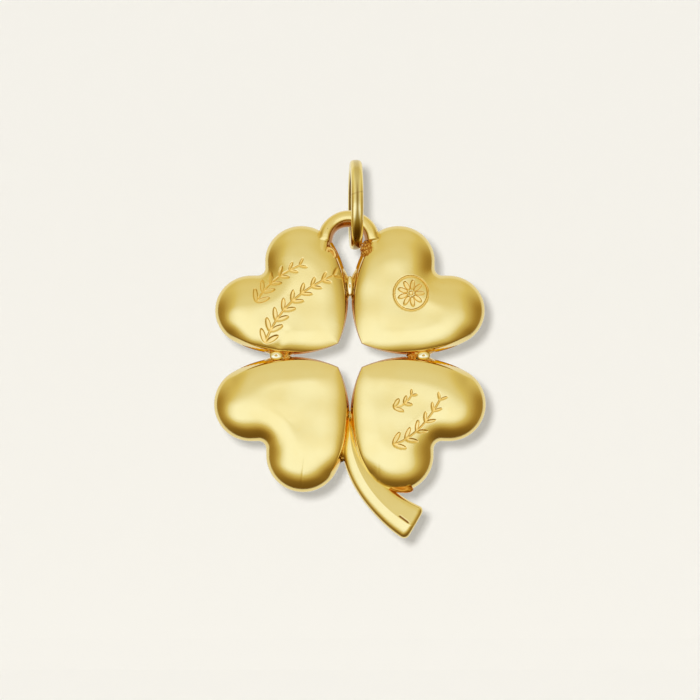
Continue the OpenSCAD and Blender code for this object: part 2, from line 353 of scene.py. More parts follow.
def calc(tree, operation, a, b=0.0):
    node = add(tree, "ShaderNodeMath", settings={"operation": operation})
    for socket, value in zip(node.inputs, (a, b)):
        if isinstance(value, (int, float)):
            socket.default_value = value
        else:
            tree.links.new(value, socket)
    return node.outputs[0]


def finish_tree(tree, shape, material, out):
    real = add(tree, "GeometryNodeRealizeInstances", {"Geometry": shape})
    paint = add(tree, "GeometryNodeSetMaterial", {"Geometry": real, "Material": material})
    tree.links.new(paint.outputs[0], out["Geometry"])


def baked(name, tree, values):
    holder = bpy.data.objects.new(name, bpy.data.meshes.new(name))
    bpy.context.scene.collection.objects.link(holder)
    modifier = holder.modifiers.new(name, "NODES")
    modifier.node_group = tree
    names = {s.name: s.identifier for s in tree.interface.items_tree if s.in_out == "INPUT"}
    for label, value in values.items():
        modifier[names[label]] = value
    depsgraph = bpy.context.evaluated_depsgraph_get()
    mesh = bpy.data.meshes.new_from_object(holder.evaluated_get(depsgraph))
    bpy.data.objects.remove(holder)
    mesh.name = name
    print(name, len(mesh.vertices), "points baked")
    return mesh


# %% [markdown]
# ## The sprig
# An engraver cuts the stalk first and then the leaves in pairs. The tree does the same: a Bezier curve
# swept with a small circle is the stalk, and a stretched ball stands at even stops along it, once to
# each side, turned to follow the stalk and smaller towards its end.

# %% The tree of a leafy sprig
sprig_tree, given, out = new_tree("sprig", (
    ("Start", "Vector"), ("Middle", "Vector"), ("End", "Vector"), ("Pairs", "Int"),
    ("Leaf length", "Float"), ("Leaf width", "Float"), ("Leaf angle", "Float"),
    ("Stalk width", "Float"), ("Depth", "Float"), ("Finish", "Material")))
node = partial(add, sprig_tree)
ends = {label: given[label] for label in ("Start", "Middle", "End")}
stalk = node("GeometryNodeCurveQuadraticBezier", ends, Resolution=64)
stalk_section = node("GeometryNodeCurvePrimitiveCircle", {"Radius": given["Stalk width"]}, Resolution=8)
stalk_mesh = node("GeometryNodeCurveToMesh", {"Curve": stalk, "Profile Curve": stalk_section})
stops = node("GeometryNodeResampleCurve", {"Curve": stalk, "Count": given["Pairs"]})
leaf_ball = node("GeometryNodeMeshIcoSphere", Radius=0.5, Subdivisions=4)
leaf_out = node("GeometryNodeTransform", {"Geometry": leaf_ball}, Translation=(0.5, 0, 0))
leaf_size = node("ShaderNodeCombineXYZ",
                 {"X": given["Leaf length"], "Y": given["Depth"], "Z": given["Leaf width"]})
leaf = node("GeometryNodeTransform", {"Geometry": leaf_out, "Scale": leaf_size})
facing = node("FunctionNodeAlignRotationToVector", {"Vector": node("GeometryNodeInputTangent")},
              {"axis": "X", "pivot_axis": "Y"})
where = node("GeometryNodeSplineParameter").outputs["Factor"]
shrink = node("ShaderNodeMapRange", {"Value": where}, **{"To Min": 1.0, "To Max": 0.6})
sprig_join = node("GeometryNodeJoinGeometry", {"Geometry": stalk_mesh})
for way in (1, -1):
    turn_y = node("ShaderNodeCombineXYZ", {"Y": calc(sprig_tree, "MULTIPLY", given["Leaf angle"], way)})
    euler = node("FunctionNodeEulerToRotation", {0: turn_y})
    turned = node("FunctionNodeRotateRotation", {0: facing, 1: euler}, {"rotation_space": "GLOBAL"})
    leaves = node("GeometryNodeInstanceOnPoints",
                  {"Points": stops, "Instance": leaf, "Rotation": turned, "Scale": shrink})
    sprig_tree.links.new(leaves.outputs[0], sprig_join.inputs[0])
finish_tree(sprig_tree, sprig_join, given["Finish"], out)

# %% [markdown]
# ## The daisy
# The petals are one stretched ball on every point of a small circle, each turned to point outward. A
# ball makes the middle and a swept circle the border, so the number of petals is one input.

# %% The tree of a daisy in a ring
daisy_tree, given, out = new_tree("daisy", (
    ("Centre", "Vector"), ("Radius", "Float"), ("Petals", "Int"), ("Petal length", "Float"),
    ("Petal width", "Float"), ("Line width", "Float"), ("Depth", "Float"), ("Finish", "Material")))
node = partial(add, daisy_tree)
petal_at = calc(daisy_tree, "MULTIPLY", given["Radius"], 0.5)
petal_ring = node("GeometryNodeCurvePrimitiveCircle", {"Resolution": given["Petals"], "Radius": petal_at})
petal_ball = node("GeometryNodeMeshIcoSphere", Radius=0.5, Subdivisions=4)
petal_size = node("ShaderNodeCombineXYZ",
                  {"X": given["Petal length"], "Y": given["Petal width"], "Z": given["Depth"]})
petal = node("GeometryNodeTransform", {"Geometry": petal_ball, "Scale": petal_size})
petal_turn = node("FunctionNodeAlignRotationToVector", {"Vector": node("GeometryNodeInputPosition")},
                  {"axis": "X", "pivot_axis": "Z"})
petals = node("GeometryNodeInstanceOnPoints",
              {"Points": petal_ring, "Instance": petal, "Rotation": petal_turn})
border = node("GeometryNodeCurvePrimitiveCircle", {"Radius": given["Radius"]}, Resolution=120)
border_section = node("GeometryNodeCurvePrimitiveCircle", {"Radius": given["Line width"]}, Resolution=8)
border_mesh = node("GeometryNodeCurveToMesh", {"Curve": border, "Profile Curve": border_section})
middle_size = node("ShaderNodeCombineXYZ",
                   {"X": given["Petal width"], "Y": given["Petal width"], "Z": given["Depth"]})
middle = node("GeometryNodeTransform", {"Geometry": petal_ball, "Scale": middle_size})
daisy_join = node("GeometryNodeJoinGeometry", {"Geometry": petals})
for part in (border_mesh, middle):
    daisy_tree.links.new(part.outputs[0], daisy_join.inputs[0])
upright = node("GeometryNodeTransform", {"Geometry": daisy_join, "Translation": given["Centre"]},
               Rotation=(math.pi / 2, 0, 0))
finish_tree(daisy_tree, upright, given["Finish"], out)

# %% [markdown]
# ## Cutting the patterns
# Each tree is evaluated once and copied to a plain mesh. Its places are given in millimetres from the
# clover's middle, and the depth of the cut is the thickness of the shape that the ray meets.

# %% Bake the patterns and read their depths
cut_depth, pattern_h, leaf_angle = 0.1, 0.3, 38


def on_clover(x, z):
    return ((x - ring_shift) * MM, 0, (z + clover_z) * MM)


def sprig(start, middle, end, pairs, length, width, stalk_w):
    return baked("sprig", sprig_tree, {
        "Start": on_clover(*start), "Middle": on_clover(*middle), "End": on_clover(*end),
        "Pairs": pairs, "Leaf length": length * MM, "Leaf width": width * MM,
        "Leaf angle": math.radians(leaf_angle), "Stalk width": stalk_w * MM, "Depth": pattern_h * MM})


PATTERNS = {
    "upper_left": [sprig((-8.4, 4.75), (-7.3, 6.9), (-4.55, 8.05), 6, 1.3, 0.42, 0.08),
                   sprig((-7.6, 1.1), (-6.2, 5.2), (-1.5, 7.15), 9, 1.4, 0.46, 0.085)],
    "lower_right": [sprig((3.9, -4.7), (4.9, -4.6), (5.5, -3.6), 3, 1.0, 0.36, 0.07),
                    sprig((3.85, -8.0), (6.3, -7.3), (8.05, -4.0), 6, 1.3, 0.42, 0.08)],
    "upper_right": [baked("daisy", daisy_tree, {
        "Centre": on_clover(5.48, 5.58), "Radius": 1.52 * MM, "Petals": 9, "Petal length": 0.95 * MM,
        "Petal width": 0.42 * MM, "Line width": 0.1 * MM, "Depth": pattern_h * MM})],
}


def pattern_depth(mesh, front):
    spots, sheet = points_of(mesh), surface_of(mesh)
    low, high = spots.min(0)[[0, 2]] - 0.05, spots.max(0)[[0, 2]] + 0.05
    inside = ((front[:, [0, 2]] > low) & (front[:, [0, 2]] < high)).all(1)
    depth = np.zeros(len(front))
    for i in np.flatnonzero(inside):
        hit = seen_at(sheet, front[i, 0], front[i, 2])
        if hit is not None:
            depth[i] = cut_depth * min(1, -hit.y / 0.11)
    return depth


# %% [markdown]
# ## Closing the hearts
# The front and the back share the points of their rim, so each heart is one closed skin. What the
# materials need later is stored on its points: how far each is from the rim, where the metal was filed,
# where it is cut, and where it faces the narrow gap under the loop, which gets painted shade.

# %% Close the hearts
far_in = 5  # a distance that stands for the crown's own point, well away from any rim


def make_heart(heart):
    n = len(outline)
    front, back = heart_sheet(front_uv, front_h, heart, 1), heart_sheet(back_uv, back_h, heart, -1)
    depth = np.zeros(len(front))
    for pattern in PATTERNS.get(heart, []):
        depth = np.maximum(depth, pattern_depth(pattern, front))
    front[:, 1] += depth
    back_faces = [[a + len(front) if a >= n else a for a in f] for f in sheet_faces(0, len(back_uv), n)]
    kept = np.ones(len(front) + len(back), bool)
    kept[len(front):len(front) + n] = False
    order = np.cumsum(kept) - 1
    points = np.r_[front, back][kept]
    faces = [order[f].tolist() for f in sheet_faces(0, len(front_uv), n) + back_faces]
    piece = make_piece(f"heart_{heart}", points, faces)
    from_rim = np.r_[front_in.ravel(), far_in, back_in.ravel(), far_in][kept]
    # The faces beside the narrow gap under the loop get painted shade
    gap_shade = 1 - smoothstep(np.abs(points[:, 0] + ring_shift), 1.7, 2.3)
    gap_shade *= smoothstep(points[:, 2] - clover_z, 3.0, 6.0)
    store(piece, "from_rim", from_rim)
    store(piece, "filed_wall", np.r_[front_wall.ravel(), 0, back_wall.ravel(), 0][kept])
    store(piece, "cut", np.r_[depth / cut_depth, np.zeros(len(back))][kept])
    store(piece, "between", gap_shade * (1 - smoothstep(from_rim, 0.2, 0.34)))
    return piece


hearts = [make_heart(h) for h in HEARTS]
for piece in hearts:
    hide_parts("clover")

# %% [markdown]
# ## A swept bar
# The stem and the loop are bars whose section changes along a curve. Blender could bend a bar with a
# Curve modifier, but a section that grows as it goes is easier to place ring by ring. Cutting the
# corners of a rough section three times gives it soft, rounded edges.

# %% Sweep rings of points into a closed bar
def softened(loop, times):
    loop = np.asarray(loop, float)
    for _ in range(times):
        following = np.roll(loop, -1, 0)
        loop = np.stack([0.75 * loop + 0.25 * following, 0.25 * loop + 0.75 * following], 1).reshape(-1, 2)
    return loop


def sweep(name, rings, shade):
    n = len(rings[0])
    points = np.concatenate([*rings, [rings[0].mean(0)], [rings[-1].mean(0)]])
    last, first_pole = (len(rings) - 1) * n, len(rings) * n
    faces = [f for k in range(len(rings) - 1) for f in band(k * n, (k + 1) * n, n)]
    faces += [[(i + 1) % n, i, first_pole] for i in range(n)]
    faces += [[last + i, last + (i + 1) % n, first_pole + 1] for i in range(n)]
    piece = make_piece(name, points, faces)
    # The stored shade is painted shade: the golds mix it in as a darker, deeper colour
    store(piece, "recess", np.r_[np.tile(shade, len(rings)), 0, 0])
    return piece


# %% [markdown]
# ## The stem
# The stem is a small forged bar. It starts thin between the lower hearts, grows towards a flat cut end
# and has a soft ridge along its front, with a rounded facet on one side and a flatter one on the other.

# %% Sweep the stem
stem_r, stem_turn, stem_top, stem_belly, stem_round = 11.8, 60, 5.0, 0.2, 0.55
stem_w, stem_t = (0.4, 3.4), (2.2, 2.5)
stem_thinner, stem_swell, stem_stops, nick_depth = 0.28, 0.34, 260, 0.12
STEM_FRONT = ((-1, 0), (-0.99, 0.42), (-0.88, 0.7), (-0.62, 0.88), (-0.22, 0.99), (-0.14, 1),
              (-0.05, 0.97), (0.35, 0.88), (0.84, 0.74), (0.99, 0.45), (1, 0))


def stem_at(f, out):
    a = np.radians(stem_turn * f)
    r = stem_r + stem_belly * math.sin(math.pi * f) + out
    return stem_r - r * math.cos(a), -stem_top - r * math.sin(a)


stem_section = softened(STEM_FRONT + tuple((a, -b) for a, b in STEM_FRONT[-2:0:-1]), 3)


def stem_width(f, size=stem_w):
    return size[0] + (size[1] - size[0]) * f * (1 + 0.35 * (1 - f))


def stem_ring(f, trim):
    w = stem_width(f) - 2 * trim
    full = 1 - stem_thinner + stem_thinner * smoothstep(f, 0.0, 0.16)
    t = stem_width(f, stem_t) * full - 2 * trim
    more = stem_swell * smoothstep(f, 0.08, 0.3) * (1 - smoothstep(f, 0.3, 0.8))
    ring = [(*stem_at(f, -a * w / 2 + more * max(-a, 0)), -b * t / 2) for a, b in stem_section]
    return np.array([(x - ring_shift, y, z + clover_z) for x, z, y in ring])


rounded = stem_round / (stem_r * math.radians(stem_turn))
stem_rings = [stem_ring(k / stem_stops * (1 - rounded), 0) for k in range(stem_stops + 1)]
stem_rings += [stem_ring(1 - rounded * (1 - math.sin(a)), stem_round * (1 - math.cos(a)))
               for a in np.radians((8, 16, 24, 32, 40, 48, 56, 64, 72, 80, 86, 90))]
# A fine nick is cut into the front; its dark line is painted shade, stored as nick
NICK = (4.49 - ring_shift, -14.46 + clover_z, 5.39 - ring_shift, -15.14 + clover_z, 0.06, 1.0)
nick = []
for ring in stem_rings:
    slit = line_cut(ring[:, 0], ring[:, 2], NICK) * (ring[:, 1] < -0.5)
    ring[:, 1] += nick_depth * slit
    nick.append(slit)
# The stem's side faces are painted darker, as painted shade
flank_shade = smoothstep(np.abs(stem_section[:, 0]), 0.93, 1.0) * (np.abs(stem_section[:, 1]) < 0.3)
stem = sweep("stem", stem_rings, flank_shade)
store(stem, "nick", np.r_[np.concatenate(nick), 0, 0])

# %% [markdown]
# ## The webs beside the stem
# Solder fills the narrow gap between the stem and each lower heart. Each web is swept down the gap: one
# edge of its section follows the stem, the other the heart's outline, and its face is a little hollow.

# %% Sweep the webs
WEB_SIDE, web_stops, web_hollow, into_stem, into_heart = 13, 90, 0.12, 0.15, 0.2


def web(name, heart, way, high, low, depth):
    hx, hz = seat(outline, heart)
    inner = (np.abs(hx) < 5) & (hz < -2) & (np.abs(hx) < np.abs(hz))
    order = np.argsort(hz[inner])
    stem_edge = np.array([stem_at(f, way * stem_width(f) / 2) for f in np.linspace(1, 0, 200)])
    across = np.r_[np.linspace(0, 1, WEB_SIDE), np.linspace(1, 0, WEB_SIDE)]
    face = np.repeat((-1.0, 1.0), WEB_SIDE)
    hollow = np.sin(np.pi * across)
    rings = []
    for z in np.linspace(high, low, web_stops):
        done = (high - z) / (high - low)
        start = np.interp(z, stem_edge[:, 1], stem_edge[:, 0]) + way * into_stem
        end = np.interp(z, hz[inner][order], hx[inner][order]) - way * into_heart
        x = start + (end - start) * across
        deep = depth * (1 - web_hollow * hollow) * math.sqrt(max(1 - done**6, 0.01))
        bow = (0.5 * done**2 - 0.6 * (1 - done) ** 8) * hollow
        rings.append(np.c_[x - ring_shift, face * deep, z + clover_z + bow])
    return sweep(name, rings, np.zeros(2 * WEB_SIDE))


webs = [web("web_left", "lower_left", 1, -4.7, -9.8, 0.95),
        web("web_right", "lower_right", -1, -4.7, -10.9, 1.1)]

# %% [markdown]
# ## The loop
# The loop is a flat strap bent into a horseshoe over the two upper hearts. Its edges face the front,
# and its inside is pressed full where the ring hangs. Its legs are hammered down onto the hearts. A
# Shrinkwrap modifier could press them on, but it has no say in how a foot fades out. So a ray goes from
# the front through every point of a leg to the heart below. The point is laid a little over the heart
# near the leg's middle and just under it at the edges, and the leg's own form fades out on the way down.

# %% Drape the legs over the hearts
foot_rise, foot_fall, foot_sunk, foot_soft, leg_run = 0.34, 0.46, 0.1, 0.3, leg_l + 0.3
surfaces = {piece.name: surface_of(piece.data) for piece in hearts[:2]}


def drape(ring, width_at, down, piece):
    side, level = np.sign(ring[:, 1]), np.abs(ring[:, 1])
    over = smoothstep(width_at, -0.05, 0.6) * (1 - smoothstep(width_at, 0.75, 1.08))
    rise = foot_rise - foot_fall * smoothstep(down, 0.0, leg_run)
    for i in np.flatnonzero(side):
        hit = seen_at(surfaces[piece.name], ring[i, 0], ring[i, 2])
        if hit is not None:
            plain = level[i] * (1 - smoothstep(down, 0.3, 1.4))
            laid = -hit.y - foot_sunk + (rise + foot_sunk) * over[i]
            level[i] = smooth_max(plain, laid, foot_soft)
    return np.c_[ring[:, 0], side * level, ring[:, 2]]


# %% Sweep the loop
STRAP_FRONT = ((0, 0.0), (0.0, 0.5), (0.1, 0.82), (0.3, 0.98), (0.6, 1.0), (0.86, 0.94), (1, 0.72))
leg_stops, bow_stops = 24, 90
foot_thicker, foot_wider, foot_pulled = 0.15, 0.12, 0.35


def strap_ring(a, down):
    sin, cos = math.sin(math.radians(a)), math.cos(math.radians(a))
    belly = strap_belly_side + (strap_belly - strap_belly_side) * sin**2
    flare = smoothstep(abs(a - 90), 30, 78)
    thick, wider = strap_t / 2 * (1 + foot_thicker * flare), foot_wider * flare
    half = [(u * strap_w * (1 + wider) - wider, v * thick) for u, v in STRAP_FRONT]
    half += [(strap_w + 0.7 * belly, 0.4 * thick)]
    section = softened(half + [(strap_w + belly, 0)] + [(u, -v) for u, v in half[:0:-1]], 3)
    along = down if a < 90 else -down
    section[:, 0] -= foot_pulled * np.maximum(0.5 - section[:, 0], 0) * smoothstep(down, 0.0, 0.7)
    x = (loop_r - section[:, 0]) * cos + along * sin - loop_shift
    z = (loop_r - section[:, 0]) * sin - along * cos + loop_z
    ring = np.c_[x - ring_shift, -section[:, 1], z + clover_z]
    width_at = section[:, 0] / strap_w
    return drape(ring, width_at, down, hearts[0] if a < 90 else hearts[1]), smoothstep(width_at, 0.72, 1.05)


loop_rings = [strap_ring(leg_lean, leg_run * k / leg_stops) for k in range(leg_stops, 0, -1)]
loop_rings += [strap_ring(leg_lean + (180 - 2 * leg_lean) * k / bow_stops, 0) for k in range(bow_stops + 1)]
loop_rings += [strap_ring(180 - leg_lean, leg_run * k / leg_stops) for k in range(1, leg_stops + 1)]
# The inside of the strap, where the ring hangs, is stored as painted shade
loop = sweep("loop", [ring for ring, _ in loop_rings], loop_rings[0][1])

# %% [markdown]
# ## Solder
# Where two hearts meet, solder has run into the gap. Molten metal climbs the walls on both sides, so it
# sets as a small saddle that is lower in its middle. A bright bead has set at its outer end. Each saddle
# is a grid of points bent to that shape, with sines for its lumps, and closed front to back.

# %% Bend a saddle of solder between two hearts
joint_at, joint_l, bite, ridge_h, ridge_w = 6.15, 2.5, 0.2, 0.16, 0.18
WAVES = (((4.1, 1.3, -2.2), 1.1), ((-1.9, 4.7, 2.3), 2.3), ((2.4, -3.1, 5.1), 3.1), ((7.3, 5.2, -6.4), 0.4))


def lumps(points, scale, seed):
    return sum(np.sin(points @ np.array(k) * scale + seed * turn) for k, turn in WAVES) / len(WAVES)


def gap_at(heart, at, level):
    x, z = seat(outline, heart)
    a, b = (np.abs(x), np.abs(z)) if level else (np.abs(z), np.abs(x))
    near = (np.abs(a - at) < 0.2) & (b < 2)
    return float(b[near].mean())


def saddle(name, pair, level, sign, rough):
    n_along, n_across = 60, 28
    s_at, t_at = np.meshgrid(np.linspace(-1, 1, n_along), np.linspace(-1, 1, n_across), indexing="ij")
    at = joint_at + s_at * joint_l / 2 * (0.62 + 1.1 * np.abs(t_at) ** 1.5)
    spots = np.linspace(joint_at - 2.3, joint_at + 2.3, 18)
    top = np.interp(at, spots, [gap_at(pair[0], a, level) for a in spots]) + bite
    bottom = -np.interp(at, spots, [gap_at(pair[1], a, level) for a in spots]) - bite
    across = bottom + (top - bottom) * (t_at + 1) / 2
    ridge = ridge_h * np.exp(-((t_at / ridge_w) ** 2))
    height = (0.9 + 0.3 * t_at**2) * (1 - np.abs(s_at) ** 2.6) ** 0.7 + ridge
    here = np.stack([at, height, across], -1).reshape(-1, 3)
    bump = rough * lumps(here, 2.2, len(name)) + 0.6 * rough * lumps(here, 5.0, len(name) + 2)
    bump = bump.reshape(at.shape)
    height = np.maximum(height + bump * (1 - s_at**4), 0.02)
    sheets = []
    for face in (-1, 1):
        a, b = (sign * at, across) if level else (across, sign * at)
        sheets.append(np.stack([a - ring_shift, face * height, b + clover_z], -1).reshape(-1, 3))
    i = np.arange(n_along * n_across).reshape(n_along, n_across)
    quads = np.stack([i[:-1, :-1], i[1:, :-1], i[1:, 1:], i[:-1, 1:]], -1).reshape(-1, 4)
    rim = np.r_[i[:, 0], i[-1, 1:], i[-2::-1, -1], i[0, -2:0:-1]]
    faces = quads.tolist() + (quads[:, ::-1] + len(i.ravel())).tolist()
    back_rim = rim + len(i.ravel())
    faces += np.c_[rim, back_rim, np.roll(back_rim, -1), np.roll(rim, -1)].tolist()
    piece = make_piece(name, np.concatenate(sheets), faces)
    # The low places between the lumps are stored to paint shade there
    store(piece, "pits", np.tile(smoothstep(-bump.ravel(), 0.02, 0.1), 2))
    return piece


# %% [markdown]
# ## Beads and runs
# A bead or a run of solder is a squashed ball with a few soft lumps. Some have a pit where the metal
# shrank as it set. The depth of each pit, and on some a band where the ball meets the metal below, are
# stored as well, to paint shade into the gold there.

# %% Make the saddles and beads
def lump(name, centre, radii, rough, seed, pit=0.0, pit_r=0.07, turn=0, rim=0.0):
    bm = bmesh.new()
    bmesh.ops.create_icosphere(bm, subdivisions=5, radius=1)
    p = np.array([v.co for v in bm.verts])
    faces = [[v.index for v in f.verts] for f in bm.faces]
    bm.free()
    q = p * radii
    q = q * (1 + rough * lumps(q, 1.0, seed)[:, None])
    front = p[:, 1] < 0
    hole = np.exp(-((q[:, 0] / radii[0]) ** 2 + (q[:, 2] / radii[2]) ** 2) * (0.4 / pit_r) ** 2) * front
    q[:, 1] += pit * hole
    cos, sin = math.cos(math.radians(turn)), math.sin(math.radians(turn))
    x, y, z = (q[:, 0] * cos - q[:, 2] * sin, q[:, 1], q[:, 0] * sin + q[:, 2] * cos)
    points = np.c_[x + centre[0] - ring_shift, y + centre[1], z + centre[2] + clover_z]
    piece = make_piece(name, points, faces)
    # The pit and the band round the ball's foot get painted shade
    store(piece, "pits", np.maximum(hole * (pit > 0), rim * smoothstep(p[:, 1], -0.8, -0.4)))
    return piece


solder = []
for name, pair, level, sign in (("right", ("upper_right", "lower_right"), True, 1),
                                ("left", ("upper_left", "lower_left"), True, -1),
                                ("upper", ("upper_right", "upper_left"), False, 1)):
    solder.append(saddle(f"solder_{name}", pair, level, sign, 0.15 if level else 0.03))
    spot = (sign * (joint_at + 0.47), -1.22, 0) if level else (0, -1.2, joint_at + 0.1)
    radii = (0.6, 0.24, 0.42) if level else (0.3, 0.26, 0.9)
    solder.append(lump(f"bead_{name}", spot, radii, 0.06, len(name) + 3, 0.1))

solder.append(lump("fillet_stem", (4.5, -0.65, -11.9), (1.2, 0.85, 0.46), 0.04, 2, 0.4, 0.32, turn=-8,
                   rim=0.8))
solder.append(lump("solder_pocket", (-1.68, -1.5, 9.22), (0.42, 0.5, 0.7), 0.05, 4, 0.42, 0.28, turn=40,
                   rim=1.0))

# %% [markdown]
# ## Rough solder
# Beside the right foot of the loop the solder has set dark and grainy. Grains are the kind of thing that
# Geometry Nodes scatter well: points spread over a small mound, each holding a tiny ball of its own size.

# %% The tree of a grainy mound, and its mesh
grain_tree, given, out = new_tree("grainy mound", (
    ("Centre", "Vector"), ("Size", "Vector"), ("Grains per square metre", "Float"),
    ("Smallest grain", "Float"), ("Largest grain", "Float"), ("Seed", "Int"), ("Finish", "Material")))
node = partial(add, grain_tree)
mound_ball = node("GeometryNodeMeshIcoSphere", Radius=1.0, Subdivisions=4)
mound = node("GeometryNodeTransform",
             {"Geometry": mound_ball, "Scale": given["Size"], "Translation": given["Centre"]})
spread = node("GeometryNodeDistributePointsOnFaces",
              {"Mesh": mound, "Density": given["Grains per square metre"], "Seed": given["Seed"]})
ball = node("GeometryNodeMeshIcoSphere", Radius=1.0, Subdivisions=2)
ball_r = node("FunctionNodeRandomValue",
              {"Seed": given["Seed"], 2: given["Smallest grain"], 3: given["Largest grain"]},
              {"data_type": "FLOAT"}).outputs[1]
grains = node("GeometryNodeInstanceOnPoints", {"Points": spread, "Instance": ball, "Scale": ball_r})
grain_join = node("GeometryNodeJoinGeometry", {"Geometry": grains})
grain_tree.links.new(mound.outputs[0], grain_join.inputs[0])
finish_tree(grain_tree, grain_join, given["Finish"], out)


def grainy(name, centre, size, per_mm2, seed):
    x, _, z = on_clover(centre[0], centre[2])
    mesh = baked(name, grain_tree, {
        "Centre": (x, centre[1] * MM, z), "Size": tuple(k * MM for k in size), "Seed": seed,
        "Grains per square metre": per_mm2 * 1e6, "Smallest grain": 0.04 * MM,
        "Largest grain": 0.18 * MM})
    return make_piece(name, points_of(mesh), [list(f.vertices) for f in mesh.polygons])


solder.append(grainy("crust_loop", (1.5, -1.1, 9.5), (0.5, 0.7, 0.7), 16, 3))
solder.append(grainy("crust_right", (5.55, -0.75, 0), (0.5, 0.32, 0.16), 16, 5))

# %% [markdown]
# ## The jump ring
# A jump ring is round wire wound on a mandrel, cut and closed. Geometry Nodes make it: a circle is the
# path and a smaller circle the wire. The tree names its sizes, so another ring only needs new numbers.

# %% Build the ring's node tree
ring_tree, given, out = new_tree("jump ring", (
    ("Ring radius", "Float"), ("Wire radius", "Float"), ("Turn", "Float"), ("Drop", "Float"),
    ("Finish", "Material")))
node = partial(add, ring_tree)
path = node("GeometryNodeCurvePrimitiveCircle", {"Radius": given["Ring radius"]}, Resolution=480)
section = node("GeometryNodeCurvePrimitiveCircle", {"Radius": given["Wire radius"]}, Resolution=56)
bend = node("GeometryNodeCurveToMesh", {"Curve": path, "Profile Curve": section})
stand = node("GeometryNodeTransform", {"Geometry": bend}, Rotation=(0, math.pi / 2, 0))
turn_z = node("ShaderNodeCombineXYZ", {"Z": given["Turn"]})
drop_z = node("ShaderNodeCombineXYZ", {"Z": given["Drop"]})
hang = node("GeometryNodeTransform", {"Geometry": stand, "Rotation": turn_z, "Translation": drop_z})
finish_tree(ring_tree, hang, given["Finish"], out)

# %% Bake the ring
ring_mid, turned = (ring_od - ring_wire) / 2, math.radians(ring_turn)
ring_mesh = baked("jump_ring_wire", ring_tree, {
    "Ring radius": ring_mid * MM, "Wire radius": ring_wire / 2 * MM, "Turn": turned,
    "Drop": -ring_id / 2 * MM})
ring_faces = [list(p.vertices) for p in ring_mesh.polygons]
ring_points = points_of(ring_mesh)

# %% [markdown]
# ## Pressing the wire
# Wire that is drawn through rollers comes out a little flat on four sides, like a cushion, and its
# reflections run in stripes along those flats. The tree gives round wire, so every point is moved in or
# out within its own section. A dark stripe along the outermost flat, stronger low down, is a painted
# reflection, the inner face gets painted shade, and the closed joint a fine line, all as values stored on
# the points.

# %% Press the wire to a cushion and mark its painted dark stripe, its painted shade and its joint
CUSHION = 3
axis = np.array([math.cos(turned), math.sin(turned), 0])
plane = np.array([-math.sin(turned), math.cos(turned), 0])
from_middle = ring_points + [0, 0, ring_id / 2]
axial, flat_y, flat_z = from_middle @ axis, from_middle @ plane, from_middle[:, 2]
round_ring = np.arctan2(flat_z, flat_y)
wire_turn = np.arctan2(axial, np.hypot(flat_y, flat_z) - ring_mid)
corner = (np.abs(np.cos(wire_turn)) ** CUSHION + np.abs(np.sin(wire_turn)) ** CUSHION) ** (1 / CUSHION)
axial = ring_wire / 2 / corner * np.sin(wire_turn)
outward = ring_wire / 2 / corner * np.cos(wire_turn)
flat_y, flat_z = (ring_mid + outward) * np.cos(round_ring), (ring_mid + outward) * np.sin(round_ring)
ring_points = np.outer(axial, axis) + np.outer(flat_y, plane) + np.outer(flat_z - ring_id / 2, (0, 0, 1))
ring_piece = make_piece("jump_ring_wire", ring_points, ring_faces, "ring")
# The stripe is a painted reflection and the darker inner face is painted shade
stripe = 0.1 + 0.14 * smoothstep(flat_z, 1.2, 3.2) + 0.17 * smoothstep(-flat_z, 0.2, 2.2)
recess = (1 - smoothstep(np.abs(axial), stripe - 0.1, stripe + 0.13)) * (outward > 0)
recess *= 0.4 + 0.6 * smoothstep(-flat_z, -2.4, -0.6)
store(ring_piece, "recess", recess + smoothstep(-outward / ring_wire, 0.25, 0.45))
seam_at, seam_lean, seam_width = 14, 4, 0.9
seam_angle = np.degrees(np.arctan2(flat_z, -flat_y)) - seam_at - seam_lean * ring_points[:, 0]
store(ring_piece, "seam", np.exp(-((seam_angle / seam_width) ** 2)))
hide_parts("jump_ring")

# %% [markdown]
# ## Gold
# Gold is a metal, so its colour is the colour of its reflections. A flat colour would look like plastic:
# real polished gold has fine wheel marks, a slow change of tone, and a deeper, redder colour wherever it
# mirrors itself, as in a crease. That redder colour is painted into the gold here, as painted reflection
# and painted shade. Those effects are shared by every gold here, so each is a node group, built once and
# given its own values in each material. They read the object's coordinates in millimetres, so the marks
# have one real size on every piece.

# %% Helpers for shader nodes
def new_group(name, inputs, outputs):
    group = bpy.data.node_groups.new(name, "ShaderNodeTree")
    for label, kind, value in inputs:
        socket = group.interface.new_socket(label, in_out="INPUT", socket_type=f"NodeSocket{kind}")
        socket.default_value = value
    for label, kind in outputs:
        group.interface.new_socket(label, in_out="OUTPUT", socket_type=f"NodeSocket{kind}")
    return group, group.nodes.new("NodeGroupInput").outputs, group.nodes.new("NodeGroupOutput").inputs


def in_mm(tree, stretch=(1, 1, 1), turn=(0, 0, 0)):
    spot = add(tree, "ShaderNodeTexCoord").outputs["Object"]
    scale = tuple(k / MM for k in stretch)
    return add(tree, "ShaderNodeMapping", {"Vector": spot}, Scale=scale, Rotation=turn).outputs[0]


def noise(tree, vector, scale, detail=2.0, rough=0.5):
    values = {"Scale": scale, "Detail": detail, "Roughness": rough}
    return add(tree, "ShaderNodeTexNoise", {"Vector": vector}, **values).outputs[0]


def ramp(tree, value, low, high, to_low=0.0, to_high=1.0):
    values = {"From Min": low, "From Max": high, "To Min": to_low, "To Max": to_high}
    settings = {"interpolation_type": "SMOOTHSTEP"}
    return add(tree, "ShaderNodeMapRange", {"Value": value}, settings, **values).outputs["Result"]


